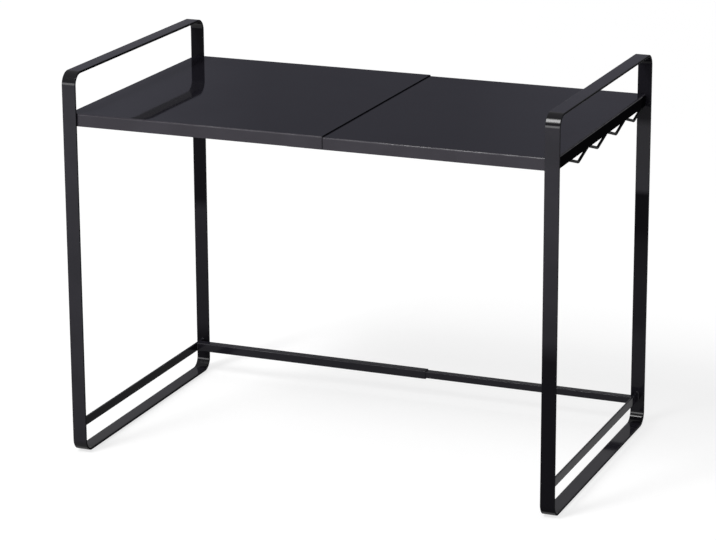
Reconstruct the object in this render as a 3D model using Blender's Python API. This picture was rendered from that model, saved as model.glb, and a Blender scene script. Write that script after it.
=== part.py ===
"""Expandable storage rack.

Two side hoops of bent flat bar carry a shelf of two folded trays. The right
tray slides inside the left one, and a square tube crossbar telescopes with it
between the lower side rails, so the whole rack gets wider or narrower.

Sizes are in metres. X runs along the width, Y from front to rear and Z up.
The origin is on the floor, in the middle of the fully extended rack.
"""

import math

import bmesh
import bpy
from mathutils import Vector

# Fits
TOUCH_GAP = 0.0003
CUT_OVERRUN = 0.002

# Side hoops, bent from flat bar
EXTENDED_WIDTH = 0.620
HOOP_DEPTH = 0.358
HOOP_HEIGHT = 0.476
BAR_WIDTH = 0.0175
BAR_THICKNESS = 0.003
BAR_EDGE_RADIUS = 0.0005
HOOP_BEND_RADIUS = 0.016

# Lower side rails, flat bar standing on edge
RAIL_RISE = 0.030
RAIL_HEIGHT = 0.011
RAIL_THICKNESS = 0.0025
RAIL_EDGE_RADIUS = 0.0004

# Shelf trays, folded from sheet
SHELF_DROP = 0.0495
TRAY_INSET = 0.006
SEAM_OFFSET = 0.0227
TRAY_OVERLAP = 0.0452
SHEET_THICKNESS = 0.001
OUTER_APRON_HEIGHT = 0.0155
INNER_APRON_HEIGHT = 0.0148
FOLD_RADIUS = 0.0018
LIP_WIDTH = 0.009
LIP_SETBACK = 0.014

# Hat-section stiffeners under the inner tray
STIFFENER_SPACING = 0.130
STIFFENER_OFFSET = 0.085
STIFFENER_CROWN = 0.014
STIFFENER_FLANGE = 0.008
STIFFENER_DEPTH = 0.008
STIFFENER_FLARE = 0.003

# Telescopic crossbar
OUTER_TUBE_SIDE = 0.0112
OUTER_TUBE_CORNER = 0.0012
TUBE_WALL = 0.0008
TUBE_END_OFFSET = 0.024
TUBE_OVERLAP = 0.0578
TUBE_SETBACK = 0.0098
PLUG_HEAD_LENGTH = 0.002
PLUG_STEM_LENGTH = 0.009
PLUG_LEAD_IN = 0.001

# Zigzag hook wire under the inner tray's side apron
HOOK_COUNT = 4
WIRE_RADIUS = 0.00175
WIRE_BEND_RADIUS = 0.004
WIRE_TAIL = 0.002
HOOK_FRONT_OFFSET = 0.0547
HOOK_REAR_OFFSET = 0.0009
HOOK_DROP = 0.0107
WIRE_OVERLAP = 0.0018

# Tray screws and spacers
SCREW_RADIUS = 0.002
SCREW_HEAD_RADIUS = 0.0038
SCREW_HEAD_HEIGHT = 0.0022
SCREW_HEAD_RIM = 0.0007
SOCKET_RADIUS = 0.00145
SOCKET_DEPTH = 0.0013
SCREW_DROP = 0.008
LEG_HOLE_DEPTH = 0.0024
SPACER_RADIUS = 0.005

# Foot pads
PAD_THICKNESS = 0.001
PAD_LENGTH = 0.024
PAD_WIDTH = 0.012
PAD_CORNER = 0.003
PAD_CHAMFER = 0.0002
PAD_SETBACK = 0.020

# Counts of steps round curves
BEND_STEPS = 12
EDGE_STEPS = 2
CORNER_STEPS = 3
FOLD_STEPS = 4
WIRE_STEPS = 5
WIRE_RESOLUTION = 4
TURN_STEPS = 24
HEX_SIDES = 6
SMOOTH_ANGLE = math.radians(40)
ROUND_SHARE = 0.5

# Hoop planes
half_width = EXTENDED_WIDTH / 2
half_depth = HOOP_DEPTH / 2
bar_centre = half_width - BAR_WIDTH / 2
leg_face = half_depth - BAR_THICKNESS
hoop_base = PAD_THICKNESS + TOUCH_GAP
hoop_top = hoop_base + HOOP_HEIGHT

# Tray planes: the inner tray nests one sheet and one gap inside the outer one
nesting = SHEET_THICKNESS + TOUCH_GAP
tray_side = half_width - TRAY_INSET
outer_tray_length = tray_side + SEAM_OFFSET
inner_tray_length = tray_side - SEAM_OFFSET + TRAY_OVERLAP
outer_tray_depth = 2 * (leg_face - TOUCH_GAP)
outer_tray_top = hoop_top - SHELF_DROP
inner_tray_depth = outer_tray_depth - 2 * nesting
inner_tray_top = outer_tray_top - nesting
inner_apron_base = inner_tray_top - INNER_APRON_HEIGHT

# Rail and crossbar places
rail_centre_height = hoop_base + RAIL_RISE + RAIL_HEIGHT / 2
rail_face = bar_centre - RAIL_THICKNESS / 2
tube_centre_depth = leg_face - TUBE_SETBACK - OUTER_TUBE_SIDE / 2
outer_tube_length = rail_face - TOUCH_GAP + TUBE_END_OFFSET
inner_tube_length = rail_face - TOUCH_GAP - TUBE_END_OFFSET + TUBE_OVERLAP
inner_tube_side = OUTER_TUBE_SIDE - 2 * (TUBE_WALL + TOUCH_GAP)
inner_tube_corner = OUTER_TUBE_CORNER - TOUCH_GAP

# Screws stand in the middle of the overlap of leg and apron
screw_side = half_width - (TRAY_INSET + BAR_WIDTH) / 2
screw_height = outer_tray_top - SCREW_DROP
hole_radius = SCREW_RADIUS + TOUCH_GAP


def clear_scene():
    """Remove the objects that the scene starts with."""
    for item in list(bpy.data.objects):
        bpy.data.objects.remove(item, do_unlink=True)


def make_material(name, colour, roughness, metallic):
    """Return a Principled material."""
    material = bpy.data.materials.new(name)
    material.use_nodes = True
    shader = material.node_tree.nodes["Principled BSDF"]
    shader.inputs["Base Color"].default_value = (*colour, 1.0)
    shader.inputs["Roughness"].default_value = roughness
    shader.inputs["Metallic"].default_value = metallic
    material.diffuse_color = (*colour, 1.0)
    return material


def add_object(name, data, material, parent, place):
    """Link an object under a parent empty, at a place in world coordinates."""
    item = bpy.data.objects.new(name, data)
    bpy.context.collection.objects.link(item)
    item.data.materials.append(material)
    item.parent = parent
    item.location = Vector(place) - parent.location
    return item


def add_empty(name, place):
    """Add an empty that carries the pieces of one moving unit."""
    empty = bpy.data.objects.new(name, None)
    bpy.context.collection.objects.link(empty)
    empty.location = place
    return empty


def finish_mesh(name, shape):
    """Turn a bmesh into a mesh, with its round parts shaded smooth."""
    mesh = bpy.data.meshes.new(name)
    shape.to_mesh(mesh)
    shape.free()
    mesh.shade_smooth()
    mesh.set_sharp_from_angle(angle=SMOOTH_ANGLE)
    return mesh


def finish_solid(name, shape):
    """Turn a closed bmesh into a mesh, with its faces outwards."""
    bmesh.ops.recalc_face_normals(shape, faces=shape.faces)
    return finish_mesh(name, shape)


def add_cut(item, cutter):
    """Cut one object out of another and hide the cutter."""
    cutter.display_type = 'WIRE'
    cutter.hide_render = True
    cut = item.modifiers.new("cut_" + cutter.name, 'BOOLEAN')
    cut.operation = 'DIFFERENCE'
    cut.solver = 'EXACT'
    cut.object = cutter


def corner_turns(steps):
    """Yield the signs and the unit directions of a rounded rectangle, corner by corner."""
    for corner, (side, rise) in enumerate(((1, 1), (-1, 1), (-1, -1), (1, -1))):
        for step in range(steps + 1):
            angle = math.radians(90) * (corner + step / steps)
            yield side, rise, math.cos(angle), math.sin(angle)


def rounded_outline(width, height, radius, steps):
    """Return the points of a rounded rectangle, anticlockwise from its right side."""
    return [
        (
            side * (width / 2 - radius) + radius * across,
            rise * (height / 2 - radius) + radius * up,
        )
        for side, rise, across, up in corner_turns(steps)
    ]


def skin_rings(shape, rings, closed):
    """Skin a row of vertex rings, joined end to end or capped at both ends."""
    count = len(rings[0])
    pairs = list(zip(rings, rings[1:]))
    if closed:
        pairs.append((rings[-1], rings[0]))
    for first, second in pairs:
        for index in range(count):
            following = (index + 1) % count
            shape.faces.new((first[index], first[following], second[following], second[index]))
    if not closed:
        shape.faces.new(rings[0])
        shape.faces.new(rings[-1])


def stacked_mesh(name, stations, steps, closed=False):
    """Skin rounded rectangles that stand at stations along Z.

    Each station is its height, width, depth and corner radius.
    """
    shape = bmesh.new()
    rings = [
        [shape.verts.new((x, y, height)) for x, y in rounded_outline(width, depth, radius, steps)]
        for height, width, depth, radius in stations
    ]
    skin_rings(shape, rings, closed)
    return finish_solid(name, shape)


def turned_mesh(name, profile, segments):
    """Turn a profile of radii and heights round Z. It starts and ends on the axis."""
    shape = bmesh.new()
    bottom = shape.verts.new((0, 0, profile[0][1]))
    top = shape.verts.new((0, 0, profile[-1][1]))
    rings = []
    for radius, height in profile[1:-1]:
        angles = [math.tau * index / segments for index in range(segments)]
        rings.append([
            shape.verts.new((radius * math.cos(angle), radius * math.sin(angle), height))
            for angle in angles
        ])
    for first, second in zip(rings, rings[1:]):
        for index in range(segments):
            following = (index + 1) % segments
            shape.faces.new((first[index], first[following], second[following], second[index]))
    for index in range(segments):
        following = (index + 1) % segments
        shape.faces.new((bottom, rings[0][following], rings[0][index]))
        shape.faces.new((top, rings[-1][index], rings[-1][following]))
    return finish_solid(name, shape)


def add_rod_cutter(name, radius, length, material, parent, place):
    """Add a round cutter that lies along Y, in the material of what it cuts."""
    profile = [(0, -length / 2), (radius, -length / 2), (radius, length / 2), (0, length / 2)]
    cutter = add_object(name, turned_mesh(name, profile, TURN_STEPS), material, parent, place)
    cutter.rotation_euler.x = math.radians(90)
    return cutter


def hoop_mesh(name):
    """Sweep the flat bar's section round a closed rounded rectangle in the YZ plane."""
    section = rounded_outline(BAR_WIDTH, BAR_THICKNESS, BAR_EDGE_RADIUS, EDGE_STEPS)
    straight_depth = half_depth - HOOP_BEND_RADIUS
    straight_height = HOOP_HEIGHT / 2 - HOOP_BEND_RADIUS
    middle_radius = HOOP_BEND_RADIUS - BAR_THICKNESS / 2
    shape = bmesh.new()
    rings = []
    for side, rise, across, up in corner_turns(BEND_STEPS):
        ring = []
        for x, offset in section:
            reach = middle_radius + offset
            y = side * straight_depth + across * reach
            z = rise * straight_height + up * reach
            ring.append(shape.verts.new((x, y, z)))
        rings.append(ring)
    skin_rings(shape, rings, closed=True)
    return finish_solid(name, shape)


def add_hoop(name, side, material, parent):
    """Add one side hoop, with a blind screw hole in each leg's inner face."""
    place = (side * bar_centre, 0, hoop_base + HOOP_HEIGHT / 2)
    hoop = add_object(name, hoop_mesh(name), material, parent, place)
    span = 2 * (leg_face + LEG_HOLE_DEPTH)
    place = (side * screw_side, 0, screw_height)
    add_cut(hoop, add_rod_cutter(name + "_holes", hole_radius, span, material, parent, place))


def add_rail(name, side, material, parent):
    """Add one lower side rail, standing on edge between the legs."""
    length = 2 * (leg_face - TOUCH_GAP)
    stations = [
        (-length / 2, RAIL_THICKNESS, RAIL_HEIGHT, RAIL_EDGE_RADIUS),
        (length / 2, RAIL_THICKNESS, RAIL_HEIGHT, RAIL_EDGE_RADIUS),
    ]
    mesh = stacked_mesh(name, stations, EDGE_STEPS)
    rail = add_object(name, mesh, material, parent, (side * bar_centre, 0, rail_centre_height))
    rail.rotation_euler.x = math.radians(90)


def fold_lip(shape, side, depth, base, reach):
    """Fold a stiffening lip inwards along the middle of one long apron's lower edge."""
    low_edges = [
        edge for edge in shape.edges
        if edge.is_boundary
        and all(math.isclose(vert.co.z, base, abs_tol=TOUCH_GAP) for vert in edge.verts)
        and all(vert.co.y * side > depth / 2 - TOUCH_GAP for vert in edge.verts)
    ]
    edge = max(low_edges, key=lambda edge: edge.calc_length())
    start, end = sorted(edge.verts, key=lambda vert: vert.co.x)
    for place in (-reach, reach):
        share = (place - start.co.x) / (end.co.x - start.co.x)
        edge, start = bmesh.utils.edge_split(edge, start, share)
    middle = next(link for link in start.link_edges if end not in link.verts and link.is_boundary)
    folded = bmesh.ops.extrude_edge_only(shape, edges=[middle])["geom"]
    verts = [item for item in folded if isinstance(item, bmesh.types.BMVert)]
    bmesh.ops.translate(shape, verts=verts, vec=(0, -side * LIP_WIDTH, 0))


def tray_mesh(name, length, depth, height, open_end, lipped):
    """Fold a tray from sheet: a top and its aprons, as the outer skin of the sheet.

    The tray's top is at zero and its middle over the origin. open_end is the
    sign of the end without an apron, or zero.
    """
    shape = bmesh.new()
    bmesh.ops.create_cube(shape, size=1)
    bmesh.ops.scale(shape, vec=(length, depth, height), verts=shape.verts)
    bmesh.ops.translate(shape, vec=(0, 0, -height / 2), verts=shape.verts)
    away = [face for face in shape.faces if face.normal.z < 0 or face.normal.x * open_end > 0]
    bmesh.ops.delete(shape, geom=away, context='FACES')
    folds = [edge for edge in shape.edges if not edge.is_boundary]
    bmesh.ops.bevel(
        shape, geom=folds, offset=FOLD_RADIUS, offset_type='OFFSET',
        segments=FOLD_STEPS, profile=ROUND_SHARE, affect='EDGES',
    )
    if lipped:
        for side in (-1, 1):
            fold_lip(shape, side, depth, -height, length / 2 - LIP_SETBACK)
    return finish_mesh(name, shape)


def add_tray(name, mesh, top, side, length, material, parent):
    """Add a tray whose closed end is against one hoop, with its screw holes."""
    tray = add_object(name, mesh, material, parent, (side * (tray_side - length / 2), 0, top))
    sheet = tray.modifiers.new("sheet", 'SOLIDIFY')
    sheet.thickness = SHEET_THICKNESS
    sheet.offset = -1
    sheet.use_even_offset = True
    span = outer_tray_depth + 2 * CUT_OVERRUN
    place = (side * screw_side, 0, screw_height)
    add_cut(tray, add_rod_cutter(name + "_holes", hole_radius, span, material, parent, place))


def add_stiffener(name, x, material, parent):
    """Add one hat-section stiffener, welded under the inner tray from front to rear."""
    crown = STIFFENER_CROWN / 2
    foot = crown + STIFFENER_FLARE
    half_section = ((foot + STIFFENER_FLANGE, 0), (foot, 0), (crown, -STIFFENER_DEPTH))
    section = list(half_section) + [(-across, drop) for across, drop in reversed(half_section)]
    length = inner_tray_depth - 2 * (FOLD_RADIUS + TOUCH_GAP)
    shape = bmesh.new()
    verts = [shape.verts.new((across, -length / 2, drop)) for across, drop in section]
    edges = [shape.edges.new(pair) for pair in zip(verts, verts[1:])]
    grown = bmesh.ops.extrude_edge_only(shape, edges=edges)["geom"]
    far = [item for item in grown if isinstance(item, bmesh.types.BMVert)]
    bmesh.ops.translate(shape, verts=far, vec=(0, length, 0))
    mesh = finish_mesh(name, shape)
    stiffener = add_object(name, mesh, material, parent, (x, 0, inner_tray_top - nesting))
    sheet = stiffener.modifiers.new("sheet", 'SOLIDIFY')
    sheet.thickness = SHEET_THICKNESS
    sheet.offset = -1 if mesh.polygons[0].normal.z > 0 else 1
    sheet.use_even_offset = True


def tube_mesh(name, length, side, corner):
    """Make an open square tube that starts at zero and runs along Z."""
    bore = side - 2 * TUBE_WALL
    bore_corner = corner - TUBE_WALL / 2
    stations = [
        (0, side, side, corner),
        (length, side, side, corner),
        (length, bore, bore, bore_corner),
        (0, bore, bore, bore_corner),
    ]
    return stacked_mesh(name, stations, CORNER_STEPS, closed=True)


def add_outer_tube(material, parent):
    """Add the crossbar's outer tube, from the left rail towards the middle."""
    mesh = tube_mesh("outer_tube", outer_tube_length, OUTER_TUBE_SIDE, OUTER_TUBE_CORNER)
    place = (-rail_face + TOUCH_GAP, tube_centre_depth, rail_centre_height)
    tube = add_object("outer_tube", mesh, material, parent, place)
    tube.rotation_euler.y = math.radians(90)


def add_inner_tube(material, plastic, parent):
    """Add the crossbar's inner tube and the plug that guides its hidden end."""
    mesh = tube_mesh("inner_tube", inner_tube_length, inner_tube_side, inner_tube_corner)
    place = (rail_face - TOUCH_GAP, tube_centre_depth, rail_centre_height)
    tube = add_object("inner_tube", mesh, material, parent, place)
    tube.rotation_euler.y = math.radians(-90)

    stem_side = inner_tube_side - 2 * (TUBE_WALL + TOUCH_GAP)
    stem_corner = inner_tube_corner - TUBE_WALL / 2
    tip_side = stem_side - PLUG_LEAD_IN
    stations = [
        (-PLUG_HEAD_LENGTH, inner_tube_side, inner_tube_side, inner_tube_corner),
        (0, inner_tube_side, inner_tube_side, inner_tube_corner),
        (0, stem_side, stem_side, stem_corner),
        (PLUG_STEM_LENGTH - PLUG_LEAD_IN, stem_side, stem_side, stem_corner),
        (PLUG_STEM_LENGTH, tip_side, tip_side, stem_corner),
    ]
    mesh = stacked_mesh("inner_tube_plug", stations, CORNER_STEPS)
    plug_x = rail_face - inner_tube_length - 2 * TOUCH_GAP
    place = (plug_x, tube_centre_depth, rail_centre_height)
    plug = add_object("inner_tube_plug", mesh, plastic, parent, place)
    plug.rotation_euler.y = math.radians(90)


def zigzag_corners():
    """Return the corners of the hook wire in the YZ plane, from front to rear."""
    apron_inside = inner_tray_depth / 2 - SHEET_THICKNESS
    rear_end = apron_inside - HOOK_REAR_OFFSET - WIRE_TAIL
    front_end = -apron_inside + HOOK_FRONT_OFFSET
    pitch = (rear_end - front_end) / HOOK_COUNT
    top = inner_apron_base + WIRE_OVERLAP - WIRE_RADIUS
    bottom = top - HOOK_DROP
    corners = [(front_end - WIRE_TAIL, top), (front_end, top)]
    for index in range(HOOK_COUNT):
        corners.append((front_end + (index + 1 / 2) * pitch, bottom))
        corners.append((front_end + (index + 1) * pitch, top))
    corners.append((rear_end + WIRE_TAIL, top))
    return [Vector(corner) for corner in corners]


def filleted(corners, radius, steps):
    """Round the inner corners of an open path with arcs."""
    points = [corners[0]]
    for before, corner, after in zip(corners, corners[1:], corners[2:]):
        arriving = (corner - before).normalized()
        leaving = (after - corner).normalized()
        turn = arriving.angle_signed(leaving)
        reach = radius * math.tan(abs(turn) / 2)
        start = corner - arriving * reach
        normal = Vector((-arriving.y, arriving.x)) * math.copysign(radius, -turn)
        centre = start + normal
        for step in range(steps + 1):
            swing = -turn * step / steps
            spoke = start - centre
            points.append(centre + Vector((
                spoke.x * math.cos(swing) - spoke.y * math.sin(swing),
                spoke.x * math.sin(swing) + spoke.y * math.cos(swing),
            )))
    points.append(corners[-1])
    return points


def add_hook_wire(material, parent):
    """Add the zigzag wire that hangs inside the right apron and forms the hooks."""
    points = filleted(zigzag_corners(), WIRE_BEND_RADIUS, WIRE_STEPS)
    curve = bpy.data.curves.new("hook_wire", 'CURVE')
    curve.dimensions = '3D'
    curve.bevel_depth = WIRE_RADIUS
    curve.bevel_resolution = WIRE_RESOLUTION
    curve.use_fill_caps = True
    spline = curve.splines.new('POLY')
    spline.points.add(len(points) - 1)
    for spline_point, point in zip(spline.points, points):
        spline_point.co = (0, point.x, point.y - inner_apron_base, 1)
    x = tray_side - SHEET_THICKNESS - TOUCH_GAP - WIRE_RADIUS
    add_object("hook_wire", curve, material, parent, (x, 0, inner_apron_base))


def screw_mesh(name, shank_length):
    """Turn a button head screw along Z, with its head's seat at zero."""
    rim = SCREW_HEAD_RIM
    dome = SCREW_HEAD_HEIGHT - rim
    crown_shares = ((0.94, 0.45), (0.78, 0.82), (0.52, 1.0))
    profile = [(0, -shank_length), (SCREW_RADIUS, -shank_length), (SCREW_RADIUS, 0)]
    profile += [(SCREW_HEAD_RADIUS, 0), (SCREW_HEAD_RADIUS, rim)]
    for radius_share, height_share in crown_shares:
        profile.append((SCREW_HEAD_RADIUS * radius_share, rim + dome * height_share))
    profile.append((0, SCREW_HEAD_HEIGHT))
    return turned_mesh(name, profile, TURN_STEPS)


def add_screw(name, side, end, apron_depth, material, parent):
    """Add a screw from inside the tray, through the apron into a leg.

    side is -1 at the left and 1 at the right, end is -1 in front and 1 behind.
    """
    seat = apron_depth / 2 - SHEET_THICKNESS - TOUCH_GAP
    shank_length = leg_face + LEG_HOLE_DEPTH - TOUCH_GAP - seat
    place = (side * screw_side, end * seat, screw_height)
    screw = add_object(name, screw_mesh(name, shank_length), material, parent, place)
    screw.rotation_euler.x = end * math.radians(90)

    span = SOCKET_DEPTH + CUT_OVERRUN
    profile = [(0, 0), (SOCKET_RADIUS, 0), (SOCKET_RADIUS, span), (0, span)]
    socket_mesh = turned_mesh(name + "_socket", profile, HEX_SIDES)
    socket_y = end * (seat - SCREW_HEAD_HEIGHT + SOCKET_DEPTH)
    place = (side * screw_side, socket_y, screw_height)
    socket = add_object(name + "_socket", socket_mesh, material, parent, place)
    socket.rotation_euler.x = end * math.radians(90)
    add_cut(screw, socket)


def add_spacer(name, end, material, parent):
    """Add a spacer ring that fills the space between a right leg and the narrower tray."""
    thickness = nesting - TOUCH_GAP
    shape = bmesh.new()
    rings = []
    for radius, depth in (
        (SPACER_RADIUS, 0), (SPACER_RADIUS, thickness), (hole_radius, thickness), (hole_radius, 0),
    ):
        angles = [math.tau * index / TURN_STEPS for index in range(TURN_STEPS)]
        rings.append([
            shape.verts.new((radius * math.cos(angle), depth, radius * math.sin(angle)))
            for angle in angles
        ])
    skin_rings(shape, rings, closed=True)
    place = (screw_side, end * (leg_face - TOUCH_GAP), screw_height)
    spacer = add_object(name, finish_solid(name, shape), material, parent, place)
    spacer.rotation_euler.z = math.radians(90) * (1 + end)


def add_pad(name, side, end, material, parent):
    """Add a thin foot pad under one end of a floor bar."""
    stations = [
        (0, PAD_WIDTH - 2 * PAD_CHAMFER, PAD_LENGTH - 2 * PAD_CHAMFER, PAD_CORNER),
        (PAD_CHAMFER, PAD_WIDTH, PAD_LENGTH, PAD_CORNER),
        (PAD_THICKNESS, PAD_WIDTH, PAD_LENGTH, PAD_CORNER),
    ]
    y = end * (half_depth - PAD_SETBACK - PAD_LENGTH / 2)
    mesh = stacked_mesh(name, stations, CORNER_STEPS)
    add_object(name, mesh, material, parent, (side * bar_centre, y, 0))


def build():
    """Build the rack, fully extended."""
    clear_scene()
    paint = make_material("black_gloss_paint", (0.012, 0.012, 0.014), 0.22, 0.0)
    wire_paint = make_material("black_wire_paint", (0.008, 0.008, 0.009), 0.35, 0.0)
    steel = make_material("black_screw_steel", (0.03, 0.03, 0.032), 0.4, 1.0)
    plastic = make_material("black_plastic", (0.015, 0.015, 0.016), 0.5, 0.0)
    rubber = make_material("black_rubber", (0.02, 0.02, 0.02), 0.8, 0.0)

    crossbar_axis = (0, tube_centre_depth, rail_centre_height)
    left = add_empty("left_unit", crossbar_axis)
    right = add_empty("right_unit", crossbar_axis)

    for side, word, unit in ((-1, "left", left), (1, "right", right)):
        add_hoop(word + "_hoop", side, paint, unit)
        add_rail(word + "_rail", side, paint, unit)
        apron_depth = outer_tray_depth if side < 0 else inner_tray_depth
        for end, end_word in ((-1, "front"), (1, "rear")):
            label = word + "_" + end_word
            add_screw(label + "_screw", side, end, apron_depth, steel, unit)
            add_pad(label + "_pad", side, end, rubber, unit)

    mesh = tray_mesh(
        "outer_tray", outer_tray_length, outer_tray_depth, OUTER_APRON_HEIGHT,
        open_end=1, lipped=False,
    )
    add_tray("outer_tray", mesh, outer_tray_top, -1, outer_tray_length, paint, left)
    mesh = tray_mesh(
        "inner_tray", inner_tray_length, inner_tray_depth, INNER_APRON_HEIGHT,
        open_end=0, lipped=True,
    )
    add_tray("inner_tray", mesh, inner_tray_top, 1, inner_tray_length, paint, right)
    add_spacer("right_front_spacer", -1, plastic, right)
    add_spacer("right_rear_spacer", 1, plastic, right)

    first_stiffener = tray_side - STIFFENER_OFFSET
    add_stiffener("right_stiffener", first_stiffener, paint, right)
    add_stiffener("left_stiffener", first_stiffener - STIFFENER_SPACING, paint, right)

    add_outer_tube(paint, left)
    add_inner_tube(paint, plastic, right)
    add_hook_wire(wire_paint, right)


build()
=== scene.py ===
"""Looks of the expandable storage rack: glossy black painted steel in a pale, softly lit studio."""

from __future__ import annotations

import logging
import math
import random
from dataclasses import dataclass
from enum import Enum
from typing import Iterable, Sequence, Union

import bmesh
import bpy
from mathutils import Matrix, Vector, noise

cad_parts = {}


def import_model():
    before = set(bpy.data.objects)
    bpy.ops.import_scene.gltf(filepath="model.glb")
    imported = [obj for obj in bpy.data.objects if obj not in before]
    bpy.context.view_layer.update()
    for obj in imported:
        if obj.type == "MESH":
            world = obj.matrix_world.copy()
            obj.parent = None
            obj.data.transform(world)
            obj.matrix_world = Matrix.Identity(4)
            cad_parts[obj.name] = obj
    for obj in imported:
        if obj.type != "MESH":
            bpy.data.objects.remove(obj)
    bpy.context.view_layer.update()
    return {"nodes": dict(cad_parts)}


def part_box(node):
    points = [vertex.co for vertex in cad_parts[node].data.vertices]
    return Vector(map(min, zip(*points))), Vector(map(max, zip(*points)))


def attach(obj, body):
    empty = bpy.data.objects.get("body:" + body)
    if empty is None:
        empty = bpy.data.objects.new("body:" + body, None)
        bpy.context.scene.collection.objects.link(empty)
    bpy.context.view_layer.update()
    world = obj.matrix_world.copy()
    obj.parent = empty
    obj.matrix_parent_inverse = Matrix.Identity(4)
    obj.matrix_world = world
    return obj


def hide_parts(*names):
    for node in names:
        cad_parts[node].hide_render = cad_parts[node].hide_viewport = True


LOG = logging.getLogger("rack")
Colour = tuple[float, float, float]
Place = tuple[float, float, float]
Ring = list[Vector]
# Places in order, each with the share that holds there
Shares = tuple[tuple[float, float], ...]
# A ramp's stops: where each one lies, its grey level and how blue it is
Stops = tuple[tuple[float, float, float], ...]

TINY = 1e-6
# A flat faces along an axis where its normal's share along that axis is larger
ALONG_AXIS = 0.999
SMOOTH_ANGLE = math.radians(38)
NORMAL_WEIGHT = 80
RAIL_WELD_SEED = 10
TUBE_WELD_SEED = 30
TACK_SEED = 7

# Painted shade on each leg, by height in metres: it darkens the paint and takes its gloss away
LEFT_FRONT_SHADE: Shares = ((0.02, 0.42), (0.12, 0.27), (0.30, 0.12), (0.36, 0.0))
LEFT_REAR_SHADE: Shares = (
    (0.045, 1.0), (0.065, 0.75), (0.16, 0.66), (0.22, 0.56), (0.235, 1.0), (0.31, 0.97),
)
RIGHT_FRONT_SHADE: Shares = ((0.19, 1.0), (0.215, 0.5), (0.27, 0.28), (0.36, 0.0))
RIGHT_REAR_SHADE: Shares = (
    (0.05, 0.62), (0.11, 0.56), (0.13, 0.74), (0.19, 0.72), (0.235, 0.85), (0.255, 1.0),
    (0.298, 1.0), (0.305, 0.1), (0.385, 0.0), (0.395, 0.7),
)


class Body(Enum):
    """The two rigid bodies of the rack."""

    LEFT = "left_frame"
    RIGHT = "right_frame"


class Slot(Enum):
    """The record's material slot names."""

    PAINT = "gloss_paint"
    WIRE = "wire_paint"


class Side(Enum):
    """The rack's left and right side, as the sign of X."""

    LEFT = -1
    RIGHT = 1

    @property
    def word(self) -> str:
        """The side's name in node names."""
        return self.name.lower()

    @property
    def body(self) -> Body:
        """The body that carries this side."""
        return Body[self.name]


# Shader expressions


class Sock:
    """A socket of a node tree that takes part in Python expressions."""

    def __init__(self, tree: "Tree", socket: bpy.types.NodeSocket) -> None:
        """Wrap an output socket of a tree."""
        self.tree = tree
        self.socket = socket

    def __add__(self, other: "Term") -> "Sock":
        """Add a value."""
        return self.tree.math("ADD", self, other)

    def __radd__(self, other: "Term") -> "Sock":
        """Add to a value."""
        return self.tree.math("ADD", other, self)

    def __sub__(self, other: "Term") -> "Sock":
        """Take a value away."""
        return self.tree.math("SUBTRACT", self, other)

    def __rsub__(self, other: "Term") -> "Sock":
        """Take away from a value."""
        return self.tree.math("SUBTRACT", other, self)

    def __mul__(self, other: "Term") -> "Sock":
        """Multiply by a value."""
        return self.tree.math("MULTIPLY", self, other)

    def __rmul__(self, other: "Term") -> "Sock":
        """Multiply a value."""
        return self.tree.math("MULTIPLY", other, self)


Term = Union[Sock, float]


@dataclass(frozen=True)
class Patches:
    """Soft-edged patches: their width in metres, and the noise that starts and that fills them."""

    size: float
    low: float
    high: float
    detail: float = 3.0
    roughness: float = 0.5


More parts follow.
